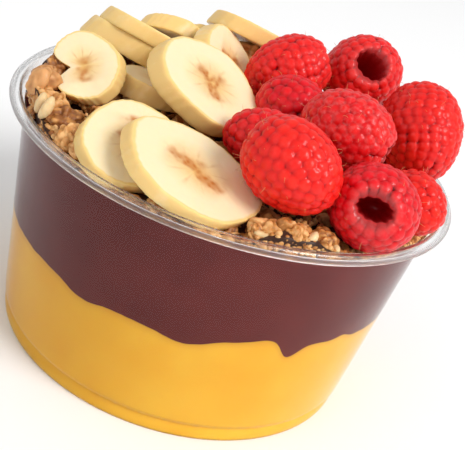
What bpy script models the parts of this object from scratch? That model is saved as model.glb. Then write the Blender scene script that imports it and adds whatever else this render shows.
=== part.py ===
"""Acai bowl: a clear plastic bowl of mango and acai puree in two layers, heaped with granola,
banana slices and raspberries.

The origin is the centre of the foot, +Z is up, and the front of the bowl faces -Y.
Sizes are millimetres and degrees; mm turns them into metres where meshes are made.
"""
import math

import bmesh
import bpy
from mathutils import Euler, Matrix, Vector
from mathutils.bvhtree import BVHTree

mm = 0.001

# Bowl
bowl_height = 63.2
lip_radius = 59.0
crest_radius = 57.2
shoulder_height = bowl_height - 3.6
wall_top_radius = 55.3
fold_height = 5.4
wall_foot_radius = 50.0
wall_thickness = 0.8
foot_radius = 43.5
sides = 54

# Filling
gap = 0.3
layer_level = 31.1
acai_level = bowl_height - 4.6

# Toppings
granola_foot_radius = 53.9
granola_radius = 55.4
granola_sides = 46
granola_rings = 12
pressed_reach = 5.5
granola_edge = 1.8
ledge_level = bowl_height - 2.6
drupelet_height = 0.75
berry_sides = 18
slice_sides = 18
slice_edge = 1.0


# ---------------------------------------------------------------- helpers

def make_material(name, colour, roughness, alpha=1.0):
    """Plain material of one linear colour, see-through where alpha is under one."""
    material = bpy.data.materials.new(name)
    material.use_nodes = True
    shader = material.node_tree.nodes["Principled BSDF"]
    shader.inputs["Base Color"].default_value = (*colour, 1.0)
    shader.inputs["Roughness"].default_value = roughness
    shader.inputs["Metallic"].default_value = 0.0
    shader.inputs["Alpha"].default_value = alpha
    return material


def turned_body(outline, steps, reshape=None):
    """Spin a half outline of (r, z) about Z into a closed body.

    reshape(i, angle, r, z) gives each point's place, where i is its number along the outline.
    """
    body = bmesh.new()
    number = body.verts.layers.int.new("number")
    previous = None
    for i, (r, z) in enumerate(outline):
        vert = body.verts.new((r, 0.0, z))
        vert[number] = i
        if previous:
            body.edges.new((previous, vert))
        previous = vert
    geometry = body.verts[:] + body.edges[:]
    bmesh.ops.spin(body, geom=geometry, cent=(0, 0, 0), axis=(0, 0, 1), angle=math.tau,
                   steps=steps, use_merge=True)
    bmesh.ops.remove_doubles(body, verts=body.verts[:], dist=1e-4)
    if reshape:
        for vert in body.verts:
            x, y, z = vert.co
            vert.co = reshape(vert[number], math.atan2(y, x), math.hypot(x, y), z)
    bmesh.ops.recalc_face_normals(body, faces=body.faces[:])
    return body


def add_object(name, body, material, sharp=math.radians(40)):
    """Scale a body to metres and add it as one node, with edges over the angle kept sharp."""
    bmesh.ops.scale(body, vec=(mm, mm, mm), verts=body.verts[:])
    mesh = bpy.data.meshes.new(name)
    body.to_mesh(mesh)
    body.free()
    mesh.shade_smooth()
    mesh.set_sharp_from_angle(angle=sharp)
    mesh.materials.append(material)
    thing = bpy.data.objects.new(name, mesh)
    bpy.context.collection.objects.link(thing)
    return thing


def hump(value, centre, width):
    """Bell curve of height one."""
    return math.exp(-((value - centre) / width) ** 2)


# ---------------------------------------------------------------- bowl and filling

def wall_radius(z):
    """Radius of the outside of the tapered wall at a height."""
    taper = (wall_top_radius - wall_foot_radius) / (shoulder_height - fold_height)
    return wall_foot_radius + (z - fold_height) * taper


def bowl():
    """Raised floor, broad foot ring, a fold over the foot, tapered wall and a rolled rim."""
    top = bowl_height
    outside = [
        (0.0, 1.6), (38.0, 1.6), (41.5, 0.0), (48.6, 0.0), (49.3, 0.6), (49.3, 2.6), (49.0, 4.4),
        (wall_foot_radius, fold_height), (wall_top_radius, shoulder_height), (56.4, top - 3.1),
        (56.9, top - 1.3), (58.2, top - 1.2), (58.2, top - 2.6), (58.8, top - 3.0),
        (lip_radius, top - 1.2), (58.4, top - 0.2), (57.7, top), (crest_radius, top - 0.4),
    ]
    inside = [
        (56.1, top - 1.3), (55.7, top - 2.9),
        (wall_top_radius - wall_thickness, shoulder_height - 0.2),
        (wall_foot_radius - wall_thickness, fold_height + 0.3), (48.2, 4.6), (48.4, 2.4),
        (0.0, 2.4),
    ]
    return turned_body(outside + inside, sides)


def layer_height(angle):
    """Height of the line between the mango and the acai at the wall.

    It waves gently at the back. Round the front it dips twice, climbs a step at the right and
    hangs in one pointed drip there.
    """
    degrees = math.degrees(angle)
    behind = 0.5 + 0.5 * math.tanh(((degrees + 270) % 360 - 180) ** 2 / 800 - 7)
    waves = 0.8 * math.sin(3 * angle + 0.6) + 0.5 * math.sin(8 * angle + 1.0)
    dips = 1.9 * hump(degrees, -114.6, 6.8) + 1.4 * hump(degrees, -85.7, 7.0)
    climb = 0.5 + 0.5 * math.tanh((degrees + 76.6) / 5.1)
    descent = 0.5 - 0.5 * math.tanh((degrees + 8) / 9)
    step = 2.8 * climb * descent
    crests = 1.3 * hump(degrees, -63.4, 4.6) + 1.0 * hump(degrees, -39.6, 3.1)
    drip = 4.1 * hump(degrees, -56.4, 3.7)
    return layer_level + waves * behind - dips + step + crests - drip


def layer_surface(angle, r):
    """Height of the boundary between the layers inside the bowl."""
    reach = min(r / 50.0, 1.0)
    return layer_level + (layer_height(angle) - layer_level) * reach ** 2


def mango_layer():
    """Lower layer, a gap inside the bowl, up to the wavy boundary."""
    wall = wall_thickness + gap
    outline = [
        (0.0, 2.4 + gap), (47.9, 2.4 + gap), (47.9, 4.7),
        (wall_foot_radius - wall - 0.1, fold_height + 0.6),
        (wall_radius(layer_level) - wall, layer_level), (42.0, layer_level),
        (22.0, layer_level), (0.0, layer_level),
    ]

    def reshape(i, angle, r, z):
        if i >= 4:
            z = layer_surface(angle, r)
        if i == 4:
            r = wall_radius(z) - wall
        return (r * math.cos(angle), r * math.sin(angle), z)

    return turned_body(outline, sides, reshape)


def acai_layer():
    """Upper layer, from a gap over the mango to its flat top under the granola."""
    wall = wall_thickness + gap
    outline = [
        (0.0, layer_level), (22.0, layer_level), (42.0, layer_level),
        (wall_radius(layer_level) - wall, layer_level),
        (wall_radius(acai_level) - wall - 0.1, acai_level), (0.0, acai_level),
    ]

    def reshape(i, angle, r, z):
        if i <= 3:
            z = layer_surface(angle, r) + gap
        if i == 3:
            r = wall_radius(z) - wall
        return (r * math.cos(angle), r * math.sin(angle), z)

    return turned_body(outline, sides, reshape)


# ---------------------------------------------------------------- toppings

# Heaps of granola: x, y, height over the rim and width.
heaps = [
    (-20, 12, 7.0, 22), (22, 16, 8.0, 22), (-46, -16, 9.0, 9), (-47, -27, 7.0, 8),
    (-44, 12, 5.0, 12), (0, -8, 3.0, 18), (50, -14, 3.0, 8), (20, -47, 2.5, 10),
    (0, 44, 4.0, 18),
]


def granola_height(x, y):
    """Top of the granola over the rim, where no fruit presses it down."""
    spread = 1 - min(math.hypot(x, y) / 55.0, 1.0) ** 4
    level = -granola_edge
    for cx, cy, height, width in heaps:
        near = hump(math.hypot(x - cx, y - cy), 0, width)
        level = max(level, -granola_edge + (height + granola_edge) * near)
    lumps = 0.9 * math.sin(0.55 * x + 0.9 * math.sin(0.31 * y))
    lumps += 0.9 * math.sin(0.6 * y + 1.3 * math.sin(0.27 * x) + 1.0)
    return level + lumps * min(1.0, 3 * spread)


def granola(fruit):
    """Heap of granola between the acai and the fruit, pressed down under every piece of fruit."""
    base = acai_level + gap
    outline = [(0.0, base), (granola_foot_radius, base),
               (granola_radius, bowl_height - granola_edge)]
    outline += [(granola_radius * (1 - (k + 1) / granola_rings), bowl_height)
                for k in range(granola_rings)]
    trees = [BVHTree.FromObject(piece, bpy.context.evaluated_depsgraph_get()) for piece in fruit]
    places = [piece.matrix_world.inverted() for piece in fruit]

    def clear_height(x, y):
        """Lowest fruit over a spot, or a height above the whole heap."""
        start = Vector((x * mm, y * mm, 0.0))
        lowest = 1000.0
        for tree, place in zip(trees, places):
            origin = place @ start
            direction = (place.to_3x3() @ Vector((0, 0, 1))).normalized()
            hit = tree.ray_cast(origin, direction)
            if hit[0] is not None:
                lowest = min(lowest, hit[3] / mm)
        return lowest

    def reshape(i, angle, r, z):
        x = r * math.cos(angle)
        y = r * math.sin(angle)
        if i < 2:
            return (x, y, z)
        reach = min(pressed_reach, 2.0 + 0.8 * (granola_radius - r))
        around = [clear_height(x, y)]
        for k in range(12):
            turn = math.tau * k / 12
            for step in (0.5 * reach, reach):
                around.append(clear_height(x + step * math.cos(turn), y + step * math.sin(turn)))
        top = min(bowl_height + granola_height(x, y), min(around) - 2 * gap)
        top = max(top, base + 0.4)
        inside = min(r, granola_radius - max(0.0, ledge_level - top))
        return (inside * math.cos(angle), inside * math.sin(angle), top)

    return turned_body(outline, granola_sides, reshape)


def raspberry_body(length, width, phase):
    """Hollow cone of knobbly drupelets, tip up, with the round hole that the stalk left below."""
    half = 0.5 * width
    hole = 0.44 * half
    depth = min(11.0, 0.5 * length)
    outline = [(0.0, depth), (0.5 * hole, 0.85 * depth), (0.95 * hole, 0.3 * depth)]
    rows = 9
    first = len(outline)
    for k in range(rows):
        turn = math.radians(-62 + 142 * k / (rows - 1))
        round_in = 1.0 if turn < 0 else 0.96
        outline.append((half * math.cos(turn) ** round_in, 0.42 * length + 0.56 * length *
                        math.sin(turn) * (0.85 if turn < 0 else 1.0)))
    outline.append((0.0, length))

    def reshape(i, angle, r, z):
        column = round((angle / math.tau) * berry_sides)
        if first < i < first + rows:
            knob = drupelet_height if (i + column) % 2 else -0.4 * drupelet_height
            knob *= min(1.0, r / (0.5 * half))
            uneven = 1 + 0.03 * math.sin(2 * angle + phase)
            r = r * uneven + knob
            z += 0.25 * knob * (1 if z > 0.4 * length else -1)
        return (r * math.cos(angle), r * math.sin(angle), z - 0.5 * length)

    return turned_body(outline, berry_sides, reshape)


def slice_body(length, width, thickness, phase, notch=0.0, curl=0.0):
    """Banana slice: a rounded, slightly lopsided disc, cut askew through the fruit.

    A notch splits it from the side to near its middle, and curl lifts the lobe beside the notch.
    """
    half = 0.5 * thickness
    outline = [(0.0, -half), (1 - slice_edge / (0.5 * width), -half), (1.0, -half + slice_edge),
               (1.0, half - slice_edge), (1 - slice_edge / (0.5 * width), half), (0.0, half)]

    def reshape(i, angle, r, z):
        lopsided = 1 + 0.025 * math.sin(3 * angle + phase) + 0.015 * math.sin(5 * angle + 2 * phase)
        skew = 0.35 * z
        cleft = 1 - notch * hump(math.degrees(angle), 0, 22)
        reach = r * lopsided * cleft
        x = 0.5 * length * reach * math.cos(angle) + skew
        y = 0.5 * width * reach * math.sin(angle)
        lift = curl * hump(math.degrees(angle), 50, 35) * reach ** 2
        return (x, y, z + lift)

    return turned_body(outline, slice_sides, reshape)


def leaning(tilt, towards, turn):
    """Turn a flat piece about its own axis, then lean its top face towards a compass direction."""
    lean = Matrix.Rotation(math.radians(tilt), 4, Vector((-math.sin(math.radians(towards)),
                                                          math.cos(math.radians(towards)), 0)))
    return (lean @ Matrix.Rotation(math.radians(turn), 4, "Z")).to_euler()


def pointing(rise, towards):
    """Aim a piece's +Z axis by its angle over the horizon and its compass direction."""
    return Euler((0, math.radians(90 - rise), math.radians(towards)))


# Banana slices: x, y and height of the middle over the rim; length, width and thickness;
# lean, the direction it leans to, and the turn of its length.
slices = [
    ((-6, -42.6, 3.3), (34, 27.5, 3.6), (20, -32, 0)),
    ((-20.8, -37.2, 2.2), (25, 27, 3.2), (21, -65, 0)),
    ((-11.8, -7.2, 10.9), (29.5, 29, 5.0), (27, -28, 0)),
    ((-40, -12.3, 6.8), (17.5, 20.5, 4.0), (42, -100, 205)),
    ((-35.6, 12, 7.9), (27, 22, 5.4), (21.5, 63, 0)),
    ((-31.8, 13.5, 11.9), (26, 25, 3.8), (21.5, 63, 0)),
    ((-28.5, 34.7, 6), (20, 21, 5.0), (45, 90, 0)),
    ((-20.4, 42.6, 5.6), (14, 15, 4.4), (46, 90, 0)),
    ((-10.4, 19.7, 9.6), (22, 26, 4.4), (42, -10, 0)),
    ((-7.8, 42, 13.3), (24, 26, 4.6), (22, 72, 0)),
    ((-23.5, -3, 4.4), (22, 18, 5.2), (4, 80, 0)),
]

# Raspberries: x, y and height of the middle over the rim; length and width; the tip's rise and
# compass direction.
berries = [
    ((15.1, -38.6, 10.9), (22.2, 19.4), (-12, -25)),
    ((24.5, -14.5, 14.3), (22, 18.5), (8, 165)),
    ((6.6, 19.8, 13.2), (22, 18), (-30, 200)),
    ((27, 36, 14), (22, 21.5), (-45, 100)),
    ((46, 13, 10.4), (26, 21.4), (-45, -70)),
    ((35.4, -33.5, 6.1), (19.5, 19.4), (-20, 84)),
    ((46.3, -20, 4.8), (16, 13.5), (0, -60)),
    ((5.3, -20.9, 7.9), (16, 13), (-10, 180)),
    ((10.2, 1.2, 9.7), (17, 17), (10, 170)),
]


def toppings(banana, raspberry):
    """Every piece of fruit in its place; the fourth slice is the split and curled one."""
    fruit = []
    for k, (place, size, aim) in enumerate(slices):
        split = {"notch": 0.6, "curl": 2.5} if k == 3 else {}
        body = slice_body(*size, phase=1.7 * k, **split)
        piece = add_object(f"banana_{k + 1:02d}", body, banana)
        piece.rotation_euler = leaning(*aim)
        piece.location = Vector((place[0], place[1], bowl_height + place[2])) * mm
        fruit.append(piece)
    for k, (place, size, aim) in enumerate(berries):
        piece = add_object(f"raspberry_{k + 1:02d}", raspberry_body(*size, phase=2.1 * k),
                           raspberry, sharp=math.radians(75))
        piece.rotation_euler = pointing(*aim)
        piece.location = Vector((place[0], place[1], bowl_height + place[2])) * mm
        fruit.append(piece)
    bpy.context.view_layer.update()
    return fruit


def main():
    for thing in list(bpy.data.objects):
        bpy.data.objects.remove(thing, do_unlink=True)
    clear_plastic = make_material("clear_plastic", (0.92, 0.93, 0.93), 0.06, alpha=0.35)
    mango = make_material("mango_puree", (0.85, 0.48, 0.10), 0.4)
    acai = make_material("acai_puree", (0.16, 0.06, 0.065), 0.5)
    oats = make_material("granola", (0.42, 0.22, 0.09), 0.7)
    banana = make_material("banana", (0.90, 0.78, 0.47), 0.45)
    raspberry = make_material("raspberry", (0.65, 0.02, 0.03), 0.35)

    add_object("bowl", bowl(), clear_plastic)
    add_object("mango_layer", mango_layer(), mango)
    add_object("acai_layer", acai_layer(), acai)
    fruit = toppings(banana, raspberry)
    add_object("granola", granola(fruit), oats)


main()
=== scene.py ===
import math

import bpy
import numpy as np
from mathutils import Euler, Matrix, Vector
from mathutils.bvhtree import BVHTree


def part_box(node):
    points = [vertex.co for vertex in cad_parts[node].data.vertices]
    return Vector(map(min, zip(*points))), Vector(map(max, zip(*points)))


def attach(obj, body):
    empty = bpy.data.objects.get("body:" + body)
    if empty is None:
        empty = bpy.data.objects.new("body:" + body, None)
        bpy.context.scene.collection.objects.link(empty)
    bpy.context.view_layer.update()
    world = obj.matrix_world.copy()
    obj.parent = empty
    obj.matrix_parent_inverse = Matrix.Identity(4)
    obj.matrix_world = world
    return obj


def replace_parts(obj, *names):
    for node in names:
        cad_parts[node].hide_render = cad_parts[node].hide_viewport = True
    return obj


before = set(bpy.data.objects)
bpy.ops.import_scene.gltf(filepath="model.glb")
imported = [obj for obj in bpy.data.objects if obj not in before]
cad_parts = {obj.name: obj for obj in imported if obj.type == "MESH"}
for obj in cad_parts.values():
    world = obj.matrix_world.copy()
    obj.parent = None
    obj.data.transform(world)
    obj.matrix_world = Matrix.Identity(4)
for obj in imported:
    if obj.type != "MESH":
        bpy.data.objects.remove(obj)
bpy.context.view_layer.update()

# An acai bowl. Lengths are in mm and angles in degrees; mm turns them into metres in the meshes.
mm = 0.001
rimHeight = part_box("bowl")[1].z / mm
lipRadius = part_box("bowl")[1].x / mm


# colour, nodes and meshes

def hexColour(code):
    # sRGB hex to linear: c/12.92 below 0.04045, else ((c+0.055)/1.055)^2.4
    channels = [int(code[k:k + 2], 16) / 255 for k in (1, 3, 5)]
    return tuple(c / 12.92 if c <= 0.04045 else ((c + 0.055) / 1.055) ** 2.4
                 for c in channels) + (1.0,)


def addNode(tree, kind, inputs=None, stops=None, **settings):
    # settings are the node's own properties, inputs are values or the sockets that feed it,
    # and stops are a colour ramp's (position, hex) pairs
    made = tree.nodes.new(kind)
    for name, value in settings.items():
        setattr(made, name, value)
    for name, value in (inputs or {}).items():
        if isinstance(value, bpy.types.NodeSocket):
            tree.links.new(value, made.inputs[name])
        else:
            made.inputs[name].default_value = value
    if stops:
        ramp = made.color_ramp
        while len(ramp.elements) < len(stops):
            ramp.elements.new(0.5)
        for element, (position, code) in zip(ramp.elements, stops):
            element.position = position
            element.color = hexColour(code)
    return made


def newMaterial(name, **constants):
    # a Principled material; constants go straight on the shader's sockets
    material = bpy.data.materials.new(name)
    material.use_nodes = True
    shader = material.node_tree.nodes["Principled BSDF"]
    for key, value in constants.items():
        shader.inputs[key.replace("_", " ")].default_value = value
    return material, material.node_tree, shader


def finishMesh(name, points, faces, material, sharp=40, values=None):
    # points in mm; values are per-vertex attributes, one number or three each
    mesh = bpy.data.meshes.new(name)
    mesh.from_pydata(np.asarray(points) * mm, [], faces)
    for key, array in (values or {}).items():
        array = np.asarray(array, np.float32)
        if array.ndim == 2:
            mesh.attributes.new(key, "FLOAT_VECTOR", "POINT").data.foreach_set("vector",
                                                                              array.ravel())
        else:
            mesh.attributes.new(key, "FLOAT", "POINT").data.foreach_set("value", array)
    mesh.shade_smooth()
    mesh.set_sharp_from_angle(angle=math.radians(sharp))
    mesh.materials.append(material)
    piece = bpy.data.objects.new(name, mesh)
    bpy.context.scene.collection.objects.link(piece)
    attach(piece, "root")
    return piece


def ringFaces(rows, columns):
    # faces of a closed body: a pole, rows - 2 rings of columns points, and a pole
    ring = np.arange(columns)
    following = (ring + 1) % columns
    starts = 1 + np.arange(rows - 3)[:, None] * columns
    quads = np.stack([starts + ring, starts + following,
                      starts + columns + following, starts + columns + ring], -1).reshape(-1, 4)
    last = 1 + (rows - 3) * columns
    top = 1 + (rows - 2) * columns
    bottomFan = np.stack([np.zeros(columns, int), 1 + following, 1 + ring], -1)
    topFan = np.stack([last + ring, last + following, np.full(columns, top)], -1)
    return quads.tolist() + bottomFan.tolist() + topFan.tolist()


def poled(rings):
    # rows x columns (x 3) with both end rows down to one point each
    rings = np.asarray(rings)
    width = rings.shape[2:]
    return np.concatenate([rings[:1, 0], rings[1:-1].reshape(-1, *width), rings[-1:, 0]])


def ripple(points, length, seed, waves=8):
    # soft bumps from about -1 to 1: the mean of plane sine waves about length long, in seeded
    # directions: sum of sin(k.p + phase)
    rng = np.random.default_rng(seed)
    directions = rng.normal(size=(waves, 3))
    directions *= (math.tau / length * rng.uniform(0.7, 1.4, (waves, 1))
                   / np.linalg.norm(directions, axis=1, keepdims=True))
    return np.sin(points @ directions.T + rng.uniform(0, math.tau, waves)).mean(-1) * 1.6


def roundedOutline(corners, radius, steps=5):
    # every corner becomes a quadratic Bezier between the points radius before and after it:
    # (1-t)^2 start + 2t(1-t) corner + t^2 end
    corners = np.array(corners, float)
    middle = corners[1:-1]
    back = corners[:-2] - middle
    ahead = corners[2:] - middle
    start = middle + back * np.minimum(radius / np.linalg.norm(back, axis=1), 0.45)[:, None]
    end = middle + ahead * np.minimum(radius / np.linalg.norm(ahead, axis=1), 0.45)[:, None]
    t = np.linspace(0, 1, steps)[None, :, None]
    curve = (1 - t) ** 2 * start[:, None] + 2 * t * (1 - t) * middle[:, None] + t ** 2 * end[:, None]
    return np.vstack([corners[:1], curve.reshape(-1, 2), corners[-1:]])


def turned(outline, columns):
    # (r, z) carried round the Z axis: (r cos a, r sin a, z)
    angle = np.arange(columns) * math.tau / columns
    r = outline[:, 0][:, None]
    z = np.broadcast_to(outline[:, 1][:, None], (len(outline), columns))
    return np.stack([r * np.cos(angle), r * np.sin(angle), z], -1), angle


# bowl

bowl = {"wallTop": 55.3, "wallFoot": 50.0, "fold": 5.4, "shoulder": rimHeight - 3.6,
        "sheet": 0.5, "bead": 0.68, "columns": 288, "rounding": 0.5, "colour": "#fdfdfd",
        "ior": 1.3, "reach": 0.15}


def wallRadius(z):
    # the outside of the wall is a straight taper
    taper = (bowl["wallTop"] - bowl["wallFoot"]) / (bowl["shoulder"] - bowl["fold"])
    return bowl["wallFoot"] + (z - bowl["fold"]) * taper


def sheetPath():
    # middle of the sheet from the axis: floor, foot ring, heel, fold, wall, step, lip and its skirt
    top = rimHeight
    half = bowl["sheet"] / 2
    corners = [(0, 1.9), (38.2, 1.9), (41.4, half), (48.6, half), (49.1, 0.8), (49.05, 2.6),
               (48.7, 4.4), (bowl["wallFoot"] - half, bowl["fold"]),
               (bowl["wallTop"] - half, bowl["shoulder"]), (56.3, top - 2.9), (56.7, top - 0.9),
               (57.1, top - half - 0.15), (57.8, top - half), (58.4, top - 0.8),
               (lipRadius - half - 0.1, top - 1.7), (lipRadius - half - 0.1, top - 2.6)]
    path = roundedOutline(corners, bowl["rounding"], 9)
    run = np.concatenate([[0], np.cumsum(np.hypot(*np.diff(path, axis=0).T))])
    heel, wall, lip = 38, 60, run[-1] - 10
    places = np.concatenate([np.arange(0, heel, 3), np.arange(heel, wall, 0.5),
                             np.arange(wall, lip, 3), np.linspace(lip, run[-1], 90)])
    return np.stack([np.interp(places, run, path[:, 0]), np.interp(places, run, path[:, 1])],
                    -1), places


def besidePath(path, offset):
    # the path moved by offset to its outer side, along the normal (dz, -dr)
    along = np.gradient(path, axis=0)
    normal = np.stack([along[:, 1], -along[:, 0]], -1)
    normal /= np.linalg.norm(normal, axis=1, keepdims=True)
    return path + normal * np.asarray(offset)[..., None]


def bowlPiece(material):
    # both faces of the sheet; its half thickness swells to a round bead, sqrt(R^2 - (s - e + R)^2)
    path, places = sheetPath()
    bead = bowl["bead"]
    swell = np.sqrt(np.clip(bead ** 2 - (places - places[-1] + bead) ** 2, 0, None))
    half = np.where(places > places[-1] - bead, swell, np.maximum(swell, bowl["sheet"] / 2))
    outline = np.vstack([besidePath(path, half), besidePath(path, -half)[::-1][1:]])
    outline[[0, -1], 0] = 0
    rings, _ = turned(outline, bowl["columns"])
    left = places[-1] - places
    folded = np.where(left < 2 * bead, 1.0, np.where(left < 5.5, 0.25, 0.0))
    folded = np.concatenate([folded, folded[::-1][1:]])[:, None] + 0 * rings[..., 0]
    piece = finishMesh("bowl_shell", poled(rings), ringFaces(*rings.shape[:2]), material,
                       sharp=60, values={"folded": poled(folded)})
    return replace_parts(piece, "bowl")


# puree layers, which reach a little into the clear wall

layers = {"level": 31.1, "top": rimHeight - 4.6, "heel": 7.0, "columns": 480}
layers["inset"] = bowl["sheet"] - bowl["reach"]


def hump(value, centre, width):
    return np.exp(-((value - centre) / width) ** 2)


def layerLine(angle):
    # level, waves behind, two dips at the front, a step with two crests at the right and one
    # pointed drip, all bells or tanh steps, with a fine ragged edge
    degrees = np.degrees((angle + math.pi) % math.tau - math.pi)
    behind = 0.5 + 0.5 * np.tanh(((degrees + 270) % 360 - 180) ** 2 / 800 - 7)
    waves = 0.8 * np.sin(3 * angle + 0.6) + 0.5 * np.sin(8 * angle + 1.0)
    dips = 1.9 * hump(degrees, -114.6, 6.8) + 1.4 * hump(degrees, -85.7, 7.0)
    climb = 0.5 + 0.5 * np.tanh((degrees + 76.6) / 5.1)
    step = 2.8 * climb * (0.5 - 0.5 * np.tanh((degrees + 8) / 9))
    crests = 1.3 * hump(degrees, -63.4, 4.6) + 1.0 * hump(degrees, -39.6, 3.1)
    drip = 4.1 * hump(degrees, -56.4, 3.7)
    edge = np.stack([np.cos(angle), np.sin(angle), 0 * angle], -1) * 52
    ragged = 0.16 * ripple(edge, 7, 3) + 0.12 * ripple(edge, 3, 4)
    return layers["level"] + waves * behind - dips + step + crests - drip + ragged


def layerTop(angle, r):
    # the line's height at the wall, fading to level at the middle as (r/50)^2
    return layers["level"] + (layerLine(angle) - layers["level"]) * np.minimum(r / 50, 1) ** 2


def mangoPiece(material):
    # up the wall on 30 rings to the line, then in over the top on 10
    columns = layers["columns"]
    angle = np.arange(columns) * math.tau / columns
    inset = layers["inset"]
    path, places = sheetPath()
    inner = besidePath(path, bowl["sheet"] / 2 - inset)
    heel = inner[(inner[:, 1] < layers["heel"]) & (places < 70)]
    heel[0, 0] = 0
    low, _ = turned(heel, columns)
    t = np.linspace(0, 1, 30)[1:, None]
    z = heel[-1, 1] + (layerLine(angle) - heel[-1, 1]) * t
    r = wallRadius(z) - inset
    side = np.stack([r * np.cos(angle), r * np.sin(angle), z], -1)
    r = (wallRadius(layers["level"]) - inset) * np.linspace(1, 0, 10)[1:, None] + 0 * angle
    over = np.stack([r * np.cos(angle), r * np.sin(angle), layerTop(angle, r)], -1)
    rings = np.concatenate([low, side, over])
    below = np.concatenate([np.full(low.shape[:2], 20.0), layerLine(angle) - side[..., 2],
                            0 * over[..., 2]])
    piece = finishMesh("mango_puree", poled(rings), ringFaces(*rings.shape[:2]), material,
                       values={"below": poled(below)})
    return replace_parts(piece, "mango_layer")


def acaiPiece(material):
    # out along the underside on 10 rings, up the wall on 30, and in over the level top
    columns = layers["columns"]
    angle = np.arange(columns) * math.tau / columns
    inset = layers["inset"]
    r = (wallRadius(layers["level"]) - inset) * np.linspace(0, 1, 10)[:-1, None] + 0 * angle
    under = np.stack([r * np.cos(angle), r * np.sin(angle), layerTop(angle, r)], -1)
    t = np.linspace(0, 1, 30)[:, None]
    z = layerLine(angle) + (layers["top"] - layerLine(angle)) * t
    r = wallRadius(z) - inset
    side = np.stack([r * np.cos(angle), r * np.sin(angle), z], -1)
    r = (wallRadius(layers["top"]) - inset) * np.linspace(1, 0, 4)[1:, None] + 0 * angle
    over = np.stack([r * np.cos(angle), r * np.sin(angle), 0 * r + layers["top"]], -1)
    rings = np.concatenate([under, side, over])
    above = np.concatenate([0 * under[..., 2], side[..., 2] - layerLine(angle),
                            np.full(over.shape[:2], 25.0)])
    piece = finishMesh("acai_puree", poled(rings), ringFaces(*rings.shape[:2]), material,
                       values={"above": poled(above)})
    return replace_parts(piece, "acai_layer")


# turning pieces to their places

def leaning(tilt, towards, turn):
    # turned about its own axis, then its top face leaned towards a compass direction
    side = Vector((-math.sin(math.radians(towards)), math.cos(math.radians(towards)), 0))
    lean = Matrix.Rotation(math.radians(tilt), 3, side)
    return np.array(lean @ Matrix.Rotation(math.radians(turn), 3, "Z"))


def pointing(rise, towards):
    # its +Z axis aimed by its angle over the horizon and its compass direction
    return np.array(Euler((0, math.radians(90 - rise), math.radians(towards))).to_matrix())


def boxMiddle(name):
    low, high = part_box(name)
    return np.array((low + high) / 2) / mm


def placed(points, turn, name):
    # turned, then moved so that its box has the CAD node's middle
    points = points @ turn.T
    shift = boxMiddle(name) - (points.min(0) + points.max(0)) / 2
    return points + shift, shift


# banana slices: length, width, thickness; lean, its direction and turn; and for each arm of the
# seeds its direction, how far out it reaches and its strength

slices = {
    "banana_01": ((34, 27.5, 3.6), (20, -32, 0),
                  ((-12, 0.5, 1.0), (168, 0.5, 1.0), (80, 0.3, 0.6))),
    "banana_02": ((25, 27, 3.2), (21, -65, 0),
                  ((112, 0.72, 1.0), (165, 0.45, 0.9), (-50, 0.45, 0.8))),
    "banana_03": ((29.5, 29, 5), (27, -28, 0),
                  ((165, 0.42, 1.0), (-55, 0.46, 1.0), (60, 0.42, 0.8))),
    "banana_04": ((17.5, 20.5, 4), (42, -100, 205),
                  ((95, 0.6, 0.8), (-80, 0.35, 0.6), (0, 0.2, 0.4))),
    "banana_05": ((27, 22, 5.8), (21.5, 63, 0),
                  ((10, 0.3, 0.5), (130, 0.3, 0.5), (250, 0.3, 0.5))),
    "banana_06": ((26, 25, 4.2), (21.5, 63, 0),
                  ((60, 0.3, 0.5), (180, 0.3, 0.7), (300, 0.3, 0.5))),
    "banana_07": ((20, 21, 5), (45, 90, 0),
                  ((80, 0.3, 0.6), (200, 0.35, 0.6), (320, 0.3, 0.5))),
    "banana_08": ((14, 15, 4.4), (46, 90, 0),
                  ((15, 0.3, 0.6), (135, 0.3, 0.5), (255, 0.3, 0.5))),
    "banana_09": ((22, 26, 4.4), (42, -10, 0),
                  ((80, 0.45, 1.0), (200, 0.5, 1.0), (-30, 0.6, 0.9))),
    "banana_10": ((24, 26, 4.6), (22, 72, 0),
                  ((45, 0.3, 0.8), (165, 0.3, 0.6), (285, 0.3, 0.5))),
    "banana_11": ((22, 18, 5.2), (4, 80, 0),
                  ((0, 0.4, 0.6), (120, 0.3, 0.6), (240, 0.4, 0.6))),
}
sliceShape = {"columns": 120, "edge": 0.75, "dish": 0.3, "groove": 0.15, "armWidth": 1.9, "rays": 11,
              "notch": 0.6, "cleft": 22, "curl": 2.5}


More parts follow.
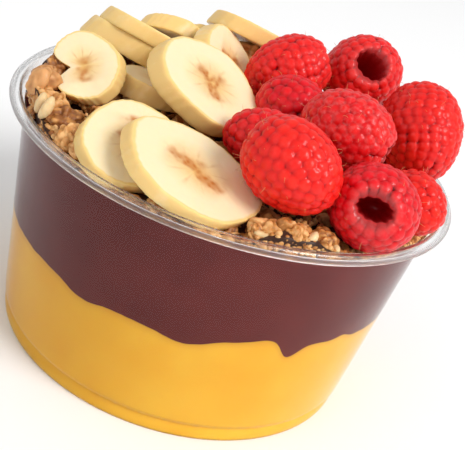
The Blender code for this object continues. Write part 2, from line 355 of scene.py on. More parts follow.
def slicePiece(name, order, material):
    # an oval with two lopsided waves; rows run out over the lower face, round the edge, up the
    # side and in over the upper face, which dips at its core and along three seed arms
    (length, width, thickness), aim, arms = slices[name]
    split = name == "banana_04"
    half = thickness / 2
    edge = sliceShape["edge"]
    columns = sliceShape["columns"]
    angle = np.arange(columns) * math.tau / columns
    phase = 1.7 * order
    outline = roundedOutline([(-1, -half), (0, -half), (0, half), (-1, half)], 2 * edge, 9)[1:-1]
    inward = np.linspace(0, 1, 26)[:-1]
    inset = np.concatenate([np.full(25, edge), -outline[:, 0], np.full(25, edge)])
    share = np.concatenate([inward, np.ones(len(outline)), inward[::-1]])[:, None]
    level = np.concatenate([np.full(25, -half), outline[:, 1], np.full(25, half)])[:, None]
    lopsided = 1 + 0.025 * np.sin(3 * angle + phase) + 0.015 * np.sin(5 * angle + 2 * phase)
    degrees = np.degrees((angle + math.pi) % math.tau - math.pi)
    if split:
        lopsided = lopsided * (1 - sliceShape["notch"] * hump(degrees, 0, sliceShape["cleft"]))
    outward = share * (1 - inset[:, None] / (width / 2)) * lopsided
    x = length / 2 * outward * np.cos(angle)
    y = width / 2 * outward * np.sin(angle)
    z = level + 0 * angle
    flat = np.stack([x, y, z], -1)
    onFace = np.clip(1 - share, 0, 1) ** 0.5
    z = z - np.sign(level) * sliceShape["dish"] * hump(share, 0, 0.45)
    rays = hump(np.cos(sliceShape["rays"] * angle + phase + 0.6 * np.sin(2 * angle)), 1, 0.2)
    star = 0.35 * rays * np.clip(share / 0.1, 0, 1) * np.clip((0.6 - share) / 0.2, 0, 1)
    broken = 0.85 + 0.4 * ripple(flat, 2.2, 80 + order)
    for k, (armTurn, armReach, strength) in enumerate(arms):
        armAngle = math.radians(armTurn)
        along = x * math.cos(armAngle) + y * math.sin(armAngle)
        beside = -x * math.sin(armAngle) + y * math.cos(armAngle)
        bend = beside + 0.5 * np.sin(along / 2 + k)
        fromStart = along / (length / 2)
        reach = np.clip(0.6 + fromStart / 0.1, 0, 1) * np.clip((armReach - fromStart) / 0.12, 0, 1)
        core = hump(bend, 0, sliceShape["armWidth"]) * broken
        halo = 0.3 * hump(bend, 0, 2.2 * sliceShape["armWidth"])
        star = np.maximum(star, np.clip(1.3 * strength * reach * np.maximum(core, halo), 0, 1))
    z = z - np.sign(level) * sliceShape["groove"] * star * (share < 1)
    z = z + 0.10 * ripple(flat, 9, 40 + order) * onFace + 0.05 * ripple(flat, 2.5, 60 + order)
    if split:
        z = z + sliceShape["curl"] * hump(degrees, 50, 35) * outward ** 2
    x = x + 0.35 * level
    side = 1 - np.clip(4 * (1 - share), 0, 1)
    fibre = 0.09 * side * np.sin(23 * angle + 3 * np.sin(5 * angle + phase))
    x = x + fibre * np.cos(angle)
    y = y + fibre * np.sin(angle)
    rings = np.stack([x, y, z], -1)
    points, _ = placed(poled(rings), leaning(*aim), name)
    own = poled(flat + [100.0 * order, 0, 0]) * mm
    values = {"own": own, "star": poled(star * (share < 1)), "share": poled(share + 0 * angle)}
    piece = finishMesh(name.replace("banana", "banana_slice"), points,
                       ringFaces(*rings.shape[:2]), material, sharp=80, values=values)
    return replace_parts(piece, name)


# raspberries: length, width; the tip's rise and compass direction; bloom and warmth from 0 to 1;
# how oval the hole is and the direction it is narrow in

berries = {
    "raspberry_01": ((22.2, 19.4), (-12, -25), 0.1, 0.8, 1, 0),
    "raspberry_02": ((22, 18.5), (8, 165), 0.7, 0.45, 1, 0),
    "raspberry_03": ((22, 18), (-30, 200), 0.2, 0.6, 1, 0),
    "raspberry_04": ((22, 21.5), (-35, 98), 0.3, 0.5, 0.75, 30),
    "raspberry_05": ((26, 21.4), (-45, -70), 0.1, 0.75, 1, 0),
    "raspberry_06": ((19.5, 19.4), (-20, 84), 0.35, 0.15, 0.62, 0),
    "raspberry_07": ((16, 13.5), (0, -60), 0.1, 0.9, 1, 0),
    "raspberry_08": ((16, 13), (-10, 180), 0.2, 0.4, 1, 0),
    "raspberry_09": ((17, 17), (10, 170), 0.1, 0.1, 1, 0),
}
berryShape = {"rows": 136, "columns": 176, "pitch": 2.7, "swell": 1.0, "hole": 0.44,
              "knob": 0.75}


def berryProfile(length, half):
    # outside from the hole's lip to the tip: r = half cos u, z = 0.42 L + 0.56 L sin u
    turn = np.radians(np.linspace(-62, 90, 400))
    r = half * np.cos(turn)
    r[-1] = 0
    z = 0.42 * length + 0.56 * length * np.sin(turn) * np.where(turn < 0, 0.85, 1)
    run = np.concatenate([[0], np.cumsum(np.hypot(np.diff(r), np.diff(z)))])
    return r, z, run


def drupelets(r, z, run, phase, rng):
    # rows of beads a pitch apart round the berry, every second row shifted half a bead
    pitch = berryShape["pitch"]
    rows = max(3, round((run[-1] - 0.3 * pitch) / (0.86 * pitch)))
    places = np.linspace(0.45 * pitch, run[-1], rows + 1)
    centres = []
    for k, place in enumerate(places):
        radius = np.interp(place, run, r)
        count = max(1, round(math.tau * radius / pitch))
        angle = (np.arange(count) + 0.5 * (k % 2)) * math.tau / count + phase
        angle = angle + rng.normal(0, 0.08, count) * pitch / max(radius, pitch)
        height = np.interp(place + rng.normal(0, 0.12, count), run, z)
        centres.append(np.stack([radius * np.cos(angle), radius * np.sin(angle), height], -1))
    return np.vstack(centres)


def berryPiece(name, order, material):
    # the outside swells by the highest of the beads at each point, h sqrt(1 - (d/R)^2), and the
    # hole's wall runs in from the lip to a rounded end
    (length, width), aim, bloom, warmth, oval, ovalTurn = berries[name]
    rng = np.random.default_rng(500 + order)
    swell = berryShape["swell"]
    half = width / 2 + berryShape["knob"] - 0.9 * swell
    columns = berryShape["columns"]
    angle = np.arange(columns) * math.tau / columns
    r, z, run = berryProfile(length, half)
    centres = drupelets(r, z, run, 2.1 * order, rng)
    places = np.linspace(0, run[-1], berryShape["rows"])
    radius = np.interp(places, run, r)[:, None]
    height = np.interp(places, run, z)[:, None]
    uneven = 1 + 0.03 * np.sin(2 * angle + 2.1 * order)
    outside = np.stack([radius * np.cos(angle), radius * np.sin(angle),
                        height + 0 * angle], -1)
    slopeR = np.gradient(radius[:, 0], places)[:, None]
    slopeZ = np.gradient(height[:, 0], places)[:, None]
    normal = np.stack([slopeZ * np.cos(angle), slopeZ * np.sin(angle), -slopeR + 0 * angle], -1)
    normal /= np.linalg.norm(normal, axis=-1, keepdims=True)
    flat = outside.reshape(-1, 3)
    size = 0.64 * berryShape["pitch"] * rng.uniform(0.92, 1.12, len(centres))
    far = np.linalg.norm(flat[:, None] - centres[None], axis=-1)
    lift = np.sqrt(np.clip(1 - (far / size) ** 2, 0, 1)) * rng.uniform(0.85, 1.1, len(centres))
    nearest = lift.argmax(1)
    bulge = lift.max(1).reshape(outside.shape[:2])
    swollen = outside + normal * (swell * bulge)[..., None]
    swollen[..., :2] *= uneven[None, :, None]
    swollen += normal * (0.05 * ripple(swollen, 1.4, order))[..., None]
    lip = berryShape["hole"] * half
    depth = min(11.0, 0.5 * length)
    u = np.linspace(0, 1, 16)
    holeRadius = lip * np.minimum(1, np.sin(u * math.pi / 2) ** 0.5) * (0.8 + 0.2 * u)
    holeLevel = depth * (1 - u ** 1.5) + np.interp(0, run, z) * u ** 1.5
    pleats = 1 + 0.05 * np.sin(11 * angle + order) * u[:, None]
    hole = np.stack([holeRadius[:, None] * pleats * np.cos(angle),
                     holeRadius[:, None] * pleats * np.sin(angle),
                     holeLevel[:, None] + 0 * angle], -1)
    narrow = np.array([math.cos(math.radians(ovalTurn)), math.sin(math.radians(ovalTurn)), 0])
    hole -= (1 - oval) * (hole @ narrow)[..., None] * narrow
    rings = np.concatenate([hole, swollen])
    rings[..., 2] -= 0.5 * length
    # collar marks the hole's lip, where a pale pink band is painted as a highlight
    collar = np.concatenate([hump(u, 1, 0.2), hump(places, 0, 0.8)])[:, None] + 0 * angle
    tones = rng.uniform(0, 1, len(centres))[nearest].reshape(bulge.shape)
    values = {"swell": poled(np.concatenate([0 * pleats, bulge])),
              "inside": poled(np.concatenate([1 + 0 * pleats, 0 * bulge])),
              "warmth": poled(np.concatenate([0 * pleats, warmth + 0.3 * (tones - 0.5)])),
              "collar": poled(collar),
              "bloom": poled(np.full(rings.shape[:2], bloom))}
    turn = pointing(*aim)
    points, shift = placed(poled(rings), turn, name)
    piece = finishMesh(name + "_fruit", points, ringFaces(*rings.shape[:2]), material,
                       sharp=180, values=values)
    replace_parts(piece, name)
    outwards = centres - [0, 0, 0.35 * length]
    outwards /= np.linalg.norm(outwards, axis=1, keepdims=True)
    roots = (centres - [0, 0, 0.5 * length] + outwards * 0.85 * swell) @ turn.T + shift
    return roots, outwards @ turn.T


hairs = {"length": 2.0, "thickness": 0.06, "share": 0.16, "steps": 5}


def hairPiece(roots, outwards, material):
    # each hair runs out along its bead and bends over: root + out L t + side L t^2, three-sided
    rng = np.random.default_rng(77)
    kept = rng.random(len(roots)) < hairs["share"]
    roots = roots[kept]
    outwards = outwards[kept]
    count = len(roots)
    sideways = np.cross(outwards, rng.normal(size=(count, 3)))
    sideways /= np.linalg.norm(sideways, axis=1, keepdims=True)
    long = hairs["length"] * rng.uniform(0.5, 1.2, (count, 1, 1))
    bend = rng.uniform(0.2, 0.9, (count, 1, 1))
    t = np.linspace(0, 1, hairs["steps"])[None, :, None]
    spine = roots[:, None] + outwards[:, None] * long * (t - 0.35 * bend * t ** 2)
    spine = spine + sideways[:, None] * long * bend * t ** 2 * 0.8
    other = np.cross(outwards, sideways)
    turn = np.arange(3) * math.tau / 3
    spoke = (sideways[:, None] * np.cos(turn)[None, :, None]
             + other[:, None] * np.sin(turn)[None, :, None])
    width = hairs["thickness"] * (1 - 0.7 * t)
    points = spine[:, :, None] + spoke[:, None] * width[..., None]
    a = np.arange(3)
    b = (a + 1) % 3
    row = np.arange(hairs["steps"] - 1)[:, None] * 3
    walls = np.stack([row + a, row + b, row + 3 + b, row + 3 + a], -1).reshape(-1, 4)
    last = 3 * (hairs["steps"] - 1)
    start = np.arange(count)[:, None, None] * 3 * hairs["steps"]
    quads = (start + walls).reshape(-1, 4).tolist()
    ends = (start + np.array([[2, 1, 0], [last, last + 1, last + 2]])).reshape(-1, 3).tolist()
    return finishMesh("raspberry_hairs", points.reshape(-1, 3), quads + ends, material,
                      sharp=180)


# granola

granola = {"floor": rimHeight - 4.5, "sink": 2.2, "wall": 55.0}


def nodeTree(name):
    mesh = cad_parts[name].data
    return BVHTree.FromPolygons([v.co for v in mesh.vertices],
                                [p.vertices for p in mesh.polygons])


heapTree = nodeTree("granola")
fruitTrees = [nodeTree(name) for name in [*slices, *berries]]


def heapTop(x, y):
    hit = heapTree.ray_cast(Vector((x * mm, y * mm, 1)), Vector((0, 0, -1)))
    return hit[0].z / mm if hit[0] else None


def fruitAbove(x, y, z):
    # free height over a spot, up to the lowest fruit
    hits = [tree.ray_cast(Vector((x * mm, y * mm, z * mm - 0.0005)), Vector((0, 0, 1)))
            for tree in fruitTrees]
    return min([hit[3] / mm for hit in hits if hit[0]], default=100.0)


def corePiece(material):
    # the heap's own top lowered by sink, with lumps of 2 to 6 mm: top + ripple
    columns = 180
    rows = 64
    angle = np.arange(columns) * math.tau / columns
    r = granola["wall"] * np.linspace(1, 0, rows)
    top = np.array([[heapTop(0.985 * radius * math.cos(a), 0.985 * radius * math.sin(a))
                     or rimHeight - 2 for a in angle] for radius in r])
    x = r[:, None] * np.cos(angle)
    y = r[:, None] * np.sin(angle)
    flat = np.stack([x, y, 0 * x], -1)
    lumps = 0.9 * ripple(flat, 6, 11) + 0.6 * ripple(flat, 2.6, 12)
    inner = np.clip((granola["wall"] - r) / 7, 0.4, 1)[:, None]
    z = np.maximum(top + inner * (lumps - granola["sink"]), granola["floor"] + 0.3)
    z[-1] = z[-1].mean()
    upper = np.stack([x, y, z], -1)
    base = np.stack([x[0] * 0.97, y[0] * 0.97, 0 * x[0] + granola["floor"]], -1)[None]
    pole = np.zeros_like(base) + [0, 0, granola["floor"]]
    rings = np.concatenate([pole, base, upper])
    piece = finishMesh("granola_core", poled(rings), ringFaces(*rings.shape[:2]), material,
                       sharp=180)
    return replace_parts(piece, "granola")


def blob(rows, columns, reshape):
    # unit ball of rows x columns, given its shape by reshape(x, y, z)
    rise = np.linspace(-math.pi / 2, math.pi / 2, rows)[:, None]
    angle = np.arange(columns) * math.tau / columns
    ball = np.stack([np.cos(rise) * np.cos(angle), np.cos(rise) * np.sin(angle),
                     np.sin(rise) + 0 * angle], -1)
    ball[0, :] = (0, 0, -1)
    ball[-1, :] = (0, 0, 1)
    return reshape(poled(ball)), ringFaces(rows, columns)


def flakeShape(p):
    # rolled oat: a thin oval with a crease down the middle and a wavy rim
    thick = 0.42 * p[:, 2] * (1 - 0.5 * hump(p[:, 1], 0, 0.22))
    wave = 0.14 * np.sin(3 * np.arctan2(p[:, 1], p[:, 0]) + 1) * np.hypot(p[:, 0], p[:, 1])
    return np.stack([2.9 * p[:, 0], 2.2 * p[:, 1], thick + wave], -1), 0 * thick


def puffShape(p):
    # crisp rice puff: a long ball, bent, with a groove along one side that is painted darker, as shade
    groove = 1 - 0.22 * hump(np.arctan2(p[:, 2], p[:, 1]), 1.2, 0.5)
    return np.stack([2.6 * p[:, 0], 1.25 * p[:, 1] * groove + 0.35 * p[:, 0] ** 2,
                     1.2 * p[:, 2] * groove], -1), 0.8 * (1 - groove)


def nutShape(p):
    # nut half: a rounded lump with one side cut nearly flat and a dented skin, painted darker in the
    # dents and lighter on the bumps, as shade and light
    dents = 1 + 0.12 * ripple(p, 0.8, 21) + 0.05 * ripple(p, 0.35, 22)
    flattened = np.maximum(p[:, 2], -0.35)
    shaped = np.stack([3.5 * p[:, 0], 2.7 * p[:, 1] * (1 - 0.15 * p[:, 0]), 2.3 * flattened], -1)
    return shaped * dents[:, None], 4 * (1 - dents)


def clumpShape(p):
    # baked clump: a lumpy ball of grains, each a bump sqrt(1 - (d/R)^2), each grain a random tone,
    # with painted shade making it darker between them
    rng = np.random.default_rng(31)
    grains = rng.normal(size=(150, 3))
    grains /= np.linalg.norm(grains, axis=1, keepdims=True)
    far = np.linalg.norm(p[:, None] - grains[None], axis=-1) / rng.uniform(0.16, 0.36, 150)
    heights = np.sqrt(np.clip(1 - far ** 2, 0, 1)) * rng.uniform(0.5, 1.1, 150)
    bump = heights.max(1)
    tones = rng.uniform(-0.3, 0.3, 150)[heights.argmax(1)] + 0.6 * (0.6 - bump)
    return p * (2.5 + 0.6 * ripple(p, 1.3, 31) + 1.1 * bump)[:, None] * [1.15, 1.0, 0.85], tones


def crumbShape(p):
    return p * (1 + 0.25 * ripple(p, 1.2, 41))[:, None] * [1.15, 0.9, 0.75], 0 * p[:, 0]


# kind: how many spots it takes, size range, how deep it sits, how far it tips, grid and the
# share of it that lies against the wall
granolaKinds = {
    "granola_clumps": (clumpShape, 45, (0.8, 1.15), 1.0, 90, (34, 46), 0.1),
    "granola_nuts": (nutShape, 30, (0.7, 1.0), 0.6, 50, (12, 16), 0.1),
    "granola_flakes": (flakeShape, 240, (0.65, 1.0), 0.0, 60, (7, 14), 0.0),
    "granola_puffs": (puffShape, 110, (0.7, 1.0), -0.2, 50, (8, 12), 0.0),
    "granola_crumbs": (crumbShape, 2500, (0.5, 1.2), 0.2, 90, (6, 9), 0.4),
    "granola_clusters": (clumpShape, 115, (0.55, 1.0), 1.0, 90, (22, 30), 0.1),
}

# the larger pieces at the rim and behind: x, y, height over the rim, size, turns about X, Y and
# Z, tone
largePieces = {
    "granola_clumps": [
        (-47.2, -12.5, 3.6, 1.0, (20, 40, 10), 0.8), (-33.5, -44.5, -1.6, 1.15, (0, 15, -48), 0.3),
        (-27.5, -47.0, -2.0, 0.95, (40, 0, -40), 0.4), (-38.4, -42.0, -1.0, 1.0, (0, 70, -60), 0.35),
        (14.0, -48.0, -2.0, 1.15, (10, 0, 20), 0.25), (22.0, -47.2, -1.8, 1.1, (60, 20, 70), 0.35),
        (17.6, -45.5, -1.2, 1.0, (0, 50, 110), 0.6), (28.0, -45.5, -2.0, 1.0, (90, 0, 0), 0.8),
        (-40.5, -34.0, 0.4, 1.2, (0, 0, 60), 0.9), (-46.5, -30.5, 1.6, 1.0, (50, 0, 20), 0.45),
        (-1.5, 31.0, 5.5, 1.3, (0, 30, 20), 0.3), (4.0, 35.0, 4.0, 1.3, (70, 0, 20), 0.4),
        (18.5, 4.0, 4.0, 1.2, (0, 0, 0), 0.8), (33.0, 10.0, 4.0, 1.2, (40, 0, 0), 0.8),
        (-5.0, 38.5, 7.9, 1.5, (20, 0, 40), 0.2), (1.5, 36.0, 8.0, 1.35, (60, 10, 0), 0.3),
        (12.5, -51.0, -1.9, 0.7, (0, 40, 0), 0.6), (16.5, -50.3, -1.9, 0.75, (30, 0, 90), 0.4),
        (20.3, -49.4, -1.8, 0.7, (80, 0, 30), 0.8), (24.0, -48.0, -1.9, 0.75, (0, 90, 0), 0.3),
        (27.5, -46.6, -1.9, 0.7, (50, 90, 0), 0.6),
    ],
    "granola_nuts": [
        (-48.0, -24.0, 4.4, 1.1, (10, -62, 20), 0.2), (-49.0, -18.5, 3.6, 1.0, (0, -30, 80), 0.6),
        (-46.0, -20.5, 4.2, 0.9, (40, 20, 50), 0.4),
    ],
    "granola_flakes": [
        (52.3, -9.5, 2.2, 1.3, (70, 20, 80), 0.05), (52.0, -14.0, 1.6, 1.2, (60, 0, 60), 0.1),
    ],
    "granola_puffs": [
        (-43.2, -36.0, 3.2, 1.2, (0, -70, 30), 0.2), (-45.8, -33.0, 2.6, 1.1, (20, -80, 0), 0.3),
        (24.5, -49.8, -0.6, 1.1, (0, -50, 40), 0.0),
    ],
}


def scattered(name, material, order):
    # one mesh of many copies: the large pieces, then seeded spots over the heap or against the
    # wall where the piece fits under the fruit
    shape, count, (smallest, largest), sink, tip, grid, against = granolaKinds[name]
    (template, tones), faces = blob(*grid, shape)
    rng = np.random.default_rng(900 + order)
    points = []
    toastAndShade = []
    for x, y, rise, size, turns, tone in largePieces.get(name, []):
        spin = np.array(Euler([math.radians(turn) for turn in turns]).to_matrix())
        body = template @ spin.T * size
        across = np.hypot(body[:, 0], body[:, 1]).max()
        inward = min(1, (granola["wall"] - across + max(0, 0.5 * rise)) / math.hypot(x, y))
        points.append(body + [x * inward, y * inward, rimHeight + rise])
        toastAndShade.append(tone + tones)
    while len(points) < count:
        radius = granola["wall"] * math.sqrt(rng.random())
        angle = rng.uniform(0, math.tau)
        size = rng.uniform(smallest, largest)
        spin = Euler((math.radians(rng.uniform(-tip, tip)), math.radians(rng.uniform(-tip, tip)),
                      rng.uniform(0, math.tau))).to_matrix()
        tone = rng.random()
        outer = rng.random() < against
        body = template @ np.array(spin).T * size
        across = np.hypot(body[:, 0], body[:, 1]).max()
        radius = granola["wall"] - across if outer else min(radius, granola["wall"] - across)
        x = radius * math.cos(angle)
        y = radius * math.sin(angle)
        top = heapTop(x, y)
        if top is None:
            continue
        middle = top - granola["sink"] * 0.4 - sink * size
        if outer:
            middle = rng.uniform(granola["floor"] + 0.6, max(middle, granola["floor"] + 0.7))
        free = fruitAbove(x, y, middle - 1)
        if middle - 1 + free < middle + body[:, 2].max() + 0.2:
            continue
        points.append(body + [x, y, middle])
        toastAndShade.append(tone + tones)
    faceLists = [face for k in range(count) for face in shifted(faces, k * len(template))]
    return finishMesh(name, np.vstack(points), faceLists, material, sharp=180,
                      values={"toastAndShade": np.concatenate(toastAndShade)})


def shifted(faces, start):
    return [[corner + start for corner in face] for face in faces]


# materials

def clearPet():
    # clear PET, thermoformed: a thin colourless sheet that lets the lamps through to what it holds
    # and shows itself by bright folds and a sheen at its edges
    material, tree, shader = newMaterial("clear_PET", Base_Color=hexColour(bowl["colour"]),
                                         IOR=bowl["ior"],
                                         Transmission_Weight=1.0)
    folded = addNode(tree, "ShaderNodeAttribute", attribute_name="folded")
    milky = addNode(tree, "ShaderNodeMapRange", {"Value": folded.outputs["Fac"], "To Min": 0.03,
                                                 "To Max": 0.55})
    tree.links.new(milky.outputs["Result"], shader.inputs["Roughness"])
    path = addNode(tree, "ShaderNodeLightPath")
    lit = addNode(tree, "ShaderNodeBsdfTransparent", {"Color": hexColour("#f6f6f6")})
    both = addNode(tree, "ShaderNodeMixShader", {0: path.outputs["Is Shadow Ray"],
                                                 1: shader.outputs["BSDF"],
                                                 2: lit.outputs["BSDF"]})
    tree.links.new(both.outputs["Shader"], tree.nodes["Material Output"].inputs["Surface"])
    return material


def mangoPuree():
    # mango puree: smooth, wet and thick; light sinks in and comes back warm
    material, tree, shader = newMaterial("mango_puree", Roughness=0.6, IOR=1.36,
                                         Specular_IOR_Level=0.1,
                                         Subsurface_Weight=0.3, Subsurface_Scale=0.003,
                                         Subsurface_Radius=(1.0, 0.7, 0.2))
    place = addNode(tree, "ShaderNodeTexCoord")
    cloud = addNode(tree, "ShaderNodeTexNoise", {"Vector": place.outputs["Object"],
                                                 "Scale": 1 / 0.016, "Detail": 4.0})
    tone = addNode(tree, "ShaderNodeValToRGB", {"Fac": cloud.outputs["Fac"]},
                   stops=[(0.3, "#e9ad2c"), (0.7, "#eebb3c")])
    # painted shade: within 2 mm under the açaí line the mango is painted a darker orange, standing for
    # the shadow under the açaí's edge
    below = addNode(tree, "ShaderNodeAttribute", attribute_name="below")
    shadeUnderAcai = addNode(tree, "ShaderNodeMapRange", {"Value": below.outputs["Fac"], "From Min": 0.0,
                                                 "From Max": 2.0, "To Min": 0.4, "To Max": 0.0})
    shadedUnderAcai = addNode(tree, "ShaderNodeMix", {"Factor": shadeUnderAcai.outputs["Result"],
                                              "A": tone.outputs["Color"],
                                              "B": hexColour("#c27a28")}, data_type="RGBA")
    tree.links.new(shadedUnderAcai.outputs["Result"], shader.inputs["Base Color"])
    return material


def acaiPuree():
    # acai puree, half frozen: dull dark purple, a little cloudy
    material, tree, shader = newMaterial("acai_puree", Roughness=0.6, IOR=1.36,
                                         Specular_IOR_Level=0.1)
    place = addNode(tree, "ShaderNodeTexCoord")
    cloud = addNode(tree, "ShaderNodeTexNoise", {"Vector": place.outputs["Object"],
                                                 "Scale": 1 / 0.012, "Detail": 5.0})
    tone = addNode(tree, "ShaderNodeValToRGB", {"Fac": cloud.outputs["Fac"]},
                   stops=[(0.3, "#5e211f"), (0.8, "#6c2a27")])
    tree.links.new(tone.outputs["Color"], shader.inputs["Base Color"])
    return material


def cutBanana():
    # fresh cut banana: pale cream, moist and a little waxy, with brown flecks in the core
    material, tree, shader = newMaterial("cut_banana", Roughness=0.42, IOR=1.4,
                                         Subsurface_Weight=0.35, Subsurface_Scale=0.002,
                                         Subsurface_Radius=(1.0, 0.7, 0.35))
    own = addNode(tree, "ShaderNodeAttribute", attribute_name="own")
    share = addNode(tree, "ShaderNodeAttribute", attribute_name="share")
    star = addNode(tree, "ShaderNodeAttribute", attribute_name="star")
    cloud = addNode(tree, "ShaderNodeTexNoise", {"Vector": own.outputs["Vector"],
                                                 "Scale": 1 / 0.006, "Detail": 4.0})
    nearer = addNode(tree, "ShaderNodeMath", {0: share.outputs["Fac"], 1: 0.92},
                     operation="MULTIPLY")
    uneven = addNode(tree, "ShaderNodeMath", {0: cloud.outputs["Fac"], 1: 0.06,
                                              2: nearer.outputs["Value"]},
                     operation="MULTIPLY_ADD")
    # the sides and the rim of the face are a deeper gold than the face: partly the outer flesh's own
    # yellow, partly painted shade standing for the shade on the slices' sides
    body = addNode(tree, "ShaderNodeValToRGB", {"Fac": uneven.outputs["Value"]},
                   stops=[(0.05, "#f2cc80"), (0.35, "#f5dba4"), (0.65, "#f6e2b8"),
                          (0.925, "#f6e2b8"), (0.945, "#f2cd84")])
    flecks = addNode(tree, "ShaderNodeTexVoronoi", {"Vector": own.outputs["Vector"],
                                                    "Scale": 1 / 0.0013})
    speck = addNode(tree, "ShaderNodeMapRange", {"Value": flecks.outputs["Distance"],
                                                 "From Min": 0.1, "From Max": 0.6,
                                                 "To Min": 1.0, "To Max": 0.75})
    seeded = addNode(tree, "ShaderNodeMath", {0: speck.outputs["Result"],
                                              1: star.outputs["Fac"]}, operation="MULTIPLY",
                     use_clamp=True)
    brown = addNode(tree, "ShaderNodeMix", {"Factor": seeded.outputs["Value"],
                                            "A": body.outputs["Color"],
                                            "B": hexColour("#ba6810")}, data_type="RGBA")
    tree.links.new(brown.outputs["Result"], shader.inputs["Base Color"])
    fine = addNode(tree, "ShaderNodeTexNoise", {"Vector": own.outputs["Vector"],
                                                "Scale": 1 / 0.0008, "Detail": 3.0})
    bump = addNode(tree, "ShaderNodeBump", {"Height": fine.outputs["Fac"], "Strength": 0.25,
                                            "Distance": 0.0002})
    tree.links.new(bump.outputs["Normal"], shader.inputs["Normal"])
    return material


def raspberrySkin():
    # raspberry drupelets: thin taut skin over juice, so red light soaks through, with a dry bloom
    material, tree, shader = newMaterial("raspberry_skin", IOR=1.38, Subsurface_Weight=0.4,
                                         Subsurface_Scale=0.0018,
                                         Subsurface_Radius=(1.0, 0.12, 0.10),
                                         Specular_IOR_Level=0.22,
                                         Coat_Weight=0.22, Coat_Roughness=0.1)
    place = addNode(tree, "ShaderNodeTexCoord")
    swell = addNode(tree, "ShaderNodeAttribute", attribute_name="swell")
    warmth = addNode(tree, "ShaderNodeAttribute", attribute_name="warmth")
    inside = addNode(tree, "ShaderNodeAttribute", attribute_name="inside")
    bloom = addNode(tree, "ShaderNodeAttribute", attribute_name="bloom")
    collar = addNode(tree, "ShaderNodeAttribute", attribute_name="collar")
    # painted shade and light: each hue runs from dark red in the creases between the drupelets to
    # bright red on their tops
    crimson = addNode(tree, "ShaderNodeValToRGB", {"Fac": swell.outputs["Fac"]},
                      stops=[(0.15, "#6c0008"), (0.55, "#c00212"), (1.0, "#e01022")])
    scarlet = addNode(tree, "ShaderNodeValToRGB", {"Fac": swell.outputs["Fac"]},
                      stops=[(0.15, "#880204"), (0.55, "#dc120c"), (1.0, "#f22a1a")])
    beads = addNode(tree, "ShaderNodeMix", {"Factor": warmth.outputs["Fac"],
                                            "A": crimson.outputs["Color"],
                                            "B": scarlet.outputs["Color"]}, data_type="RGBA")
    powder = addNode(tree, "ShaderNodeTexNoise", {"Vector": place.outputs["Object"],
                                                  "Scale": 1 / 0.0011, "Detail": 3.0})
    dust = addNode(tree, "ShaderNodeMapRange", {"Value": powder.outputs["Fac"],
                                                "From Min": 0.45, "From Max": 0.75,
                                                "To Min": 0.0, "To Max": 0.45})
    dusted = addNode(tree, "ShaderNodeMath", {0: dust.outputs["Result"],
                                              1: bloom.outputs["Fac"]}, operation="MULTIPLY")
    bloomed = addNode(tree, "ShaderNodeMix", {"Factor": dusted.outputs["Value"],
                                              "A": beads.outputs["Result"],
                                              "B": hexColour("#e88a88")}, data_type="RGBA")
    # painted shade: the hole's wall is a deeper red than the drupelet tops, standing for the shade
    # inside the hollow
    holed = addNode(tree, "ShaderNodeMix", {"Factor": inside.outputs["Fac"],
                                            "A": bloomed.outputs["Result"],
                                            "B": hexColour("#a80612")}, data_type="RGBA")
    # painted highlight: a pale pink band round the hole's lip
    pale = addNode(tree, "ShaderNodeMath", {0: collar.outputs["Fac"], 1: 0.22},
                   operation="MULTIPLY")
    edged = addNode(tree, "ShaderNodeMix", {"Factor": pale.outputs["Value"],
                                            "A": holed.outputs["Result"],
                                            "B": hexColour("#f0706c")}, data_type="RGBA")
    tree.links.new(edged.outputs["Result"], shader.inputs["Base Color"])
    rough = addNode(tree, "ShaderNodeMapRange", {"Value": powder.outputs["Fac"],
                                                 "From Min": 0.3, "From Max": 0.7,
                                                 "To Min": 0.28, "To Max": 0.5})
    tree.links.new(rough.outputs["Result"], shader.inputs["Roughness"])
    bump = addNode(tree, "ShaderNodeBump", {"Height": powder.outputs["Fac"], "Strength": 0.3,
                                            "Distance": 0.0002})
    tree.links.new(bump.outputs["Normal"], shader.inputs["Normal"])
    return material


def berryHair():
    # the dry styles of a raspberry: fine golden threads
    material, tree, shader = newMaterial("raspberry_styles", Base_Color=hexColour("#d9a066"),
                                         Roughness=0.5)
    return material


def toastedOats(name, stops, roughness):
    # oats baked with honey: pale to dark brown from piece to piece, dull with sticky glints; the
    # piece's tone attribute also carries painted shade, darker in dents, grooves and between grains
    material, tree, shader = newMaterial(name, Roughness=roughness, IOR=1.45,
                                         Subsurface_Weight=0.1, Subsurface_Scale=0.001,
                                         Coat_Weight=0.2, Coat_Roughness=0.3)
    place = addNode(tree, "ShaderNodeTexCoord")
    toastAndShade = addNode(tree, "ShaderNodeAttribute", attribute_name="toastAndShade")
    grain = addNode(tree, "ShaderNodeTexNoise", {"Vector": place.outputs["Object"],
                                                 "Scale": 1 / 0.0016, "Detail": 4.0})
    mixed = addNode(tree, "ShaderNodeMath", {0: grain.outputs["Fac"], 1: 0.7,
                                             2: toastAndShade.outputs["Fac"]}, operation="MULTIPLY_ADD")
    halved = addNode(tree, "ShaderNodeMath", {0: mixed.outputs["Value"], 1: 0.35},
                     operation="SUBTRACT", use_clamp=True)
    tone = addNode(tree, "ShaderNodeValToRGB", {"Fac": halved.outputs["Value"]}, stops=stops)
    tree.links.new(tone.outputs["Color"], shader.inputs["Base Color"])
    bump = addNode(tree, "ShaderNodeBump", {"Height": grain.outputs["Fac"], "Strength": 0.6,
                                            "Distance": 0.0004})
    tree.links.new(bump.outputs["Normal"], shader.inputs["Normal"])
    return material


# making the pieces

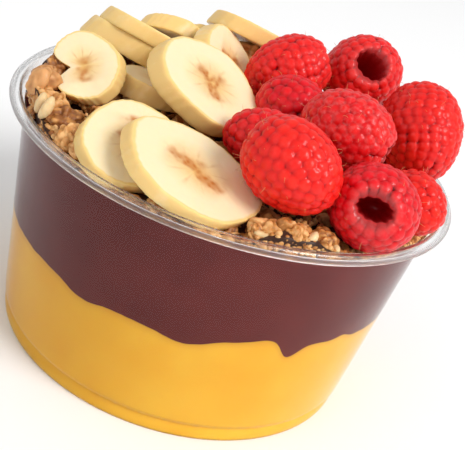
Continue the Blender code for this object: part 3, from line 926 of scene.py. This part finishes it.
bowlPiece(clearPet())
print("bowl made")
mangoPiece(mangoPuree())
acaiPiece(acaiPuree())
print("puree layers made")
flesh = cutBanana()
for order, name in enumerate(slices):
    slicePiece(name, order, flesh)
print("banana slices made")
skin = raspberrySkin()
hairRoots = [berryPiece(name, order, skin) for order, name in enumerate(berries)]
hairPiece(np.vstack([roots for roots, _ in hairRoots]),
          np.vstack([outwards for _, outwards in hairRoots]), berryHair())
print("raspberries made")
# painted shade: the core under the loose pieces is painted nearly black, standing for the shade in the
# gaps between them
corePiece(toastedOats("granola_core_painted_shade", [(0.1, "#3a1c0a"), (0.9, "#160a03")], 0.9))
oatTones = [(0.0, "#ecb878"), (0.5, "#c88844"), (1.0, "#8a501c")]
puffTones = [(0.0, "#ecd09c"), (1.0, "#cc985c")]
nutTones = [(0.0, "#e0a468"), (1.0, "#a86a30")]
toned = {"granola_clumps": oatTones, "granola_nuts": nutTones, "granola_flakes": oatTones,
         "granola_puffs": puffTones, "granola_crumbs": oatTones,
         "granola_clusters": oatTones}
for order, name in enumerate(granolaKinds):
    scattered(name, toastedOats(name + "_crumb", toned[name], 0.6), order)
print("granola made")


# floor, light and camera

stage = {"floor": "#fafafa", "key": 43.5, "fill": 6.5, "world": 0.62}
view = {"target": (6.46, 0, 36.26), "elevation": 26.83, "roll": 19.31, "distance": 257.4,
        "lens": 72.5}


def floorPiece():
    material, tree, shader = newMaterial("pale_floor", Base_Color=hexColour(stage["floor"]),
                                         Roughness=0.8)
    mesh = bpy.data.meshes.new("floor")
    reach = 3.0
    mesh.from_pydata([(-reach, -reach, 0), (reach, -reach, 0), (reach, reach, 0),
                      (-reach, reach, 0)], [], [(0, 1, 2, 3)])
    mesh.materials.append(material)
    floor = bpy.data.objects.new("floor", mesh)
    bpy.context.scene.collection.objects.link(floor)


def softLight(name, place, size, power):
    lamp = bpy.data.lights.new(name, "AREA")
    lamp.shape = "DISK"
    lamp.size = size
    lamp.energy = power
    light = bpy.data.objects.new(name, lamp)
    light.location = place
    light.rotation_euler = (-Vector(place)).to_track_quat("-Z", "Y").to_euler()
    bpy.context.scene.collection.objects.link(light)


def makeCamera():
    # looks from the front at elevation, rolled; back is the way from the target to the camera
    rise = math.radians(view["elevation"])
    roll = math.radians(view["roll"])
    back = Vector((0, -math.cos(rise), math.sin(rise)))
    up = Vector((0, math.sin(rise), math.cos(rise)))
    right = Vector((1, 0, 0))
    across = math.cos(roll) * right + math.sin(roll) * up
    upward = -math.sin(roll) * right + math.cos(roll) * up
    lens = bpy.data.cameras.new("camera")
    lens.lens = view["lens"]
    lens.clip_start = 0.01
    camera = bpy.data.objects.new("camera", lens)
    camera.matrix_world = Matrix.Translation((Vector(view["target"]) + back * view["distance"]) * mm) \
        @ Matrix((across, upward, back)).transposed().to_4x4()
    bpy.context.scene.collection.objects.link(camera)
    bpy.context.scene.camera = camera


world = bpy.data.worlds.new("studio")
world.use_nodes = True
world.node_tree.nodes["Background"].inputs["Color"].default_value = hexColour("#ffffff")
world.node_tree.nodes["Background"].inputs["Strength"].default_value = stage["world"]
bpy.context.scene.world = world
bpy.context.scene.view_settings.view_transform = "Standard"
floorPiece()
softLight("key", (1.5, -0.9, 1.8), 1.2, stage["key"])
softLight("fill", (-1.2, -1.5, 1.2), 1.8, stage["fill"])
makeCamera()
print("stage made")
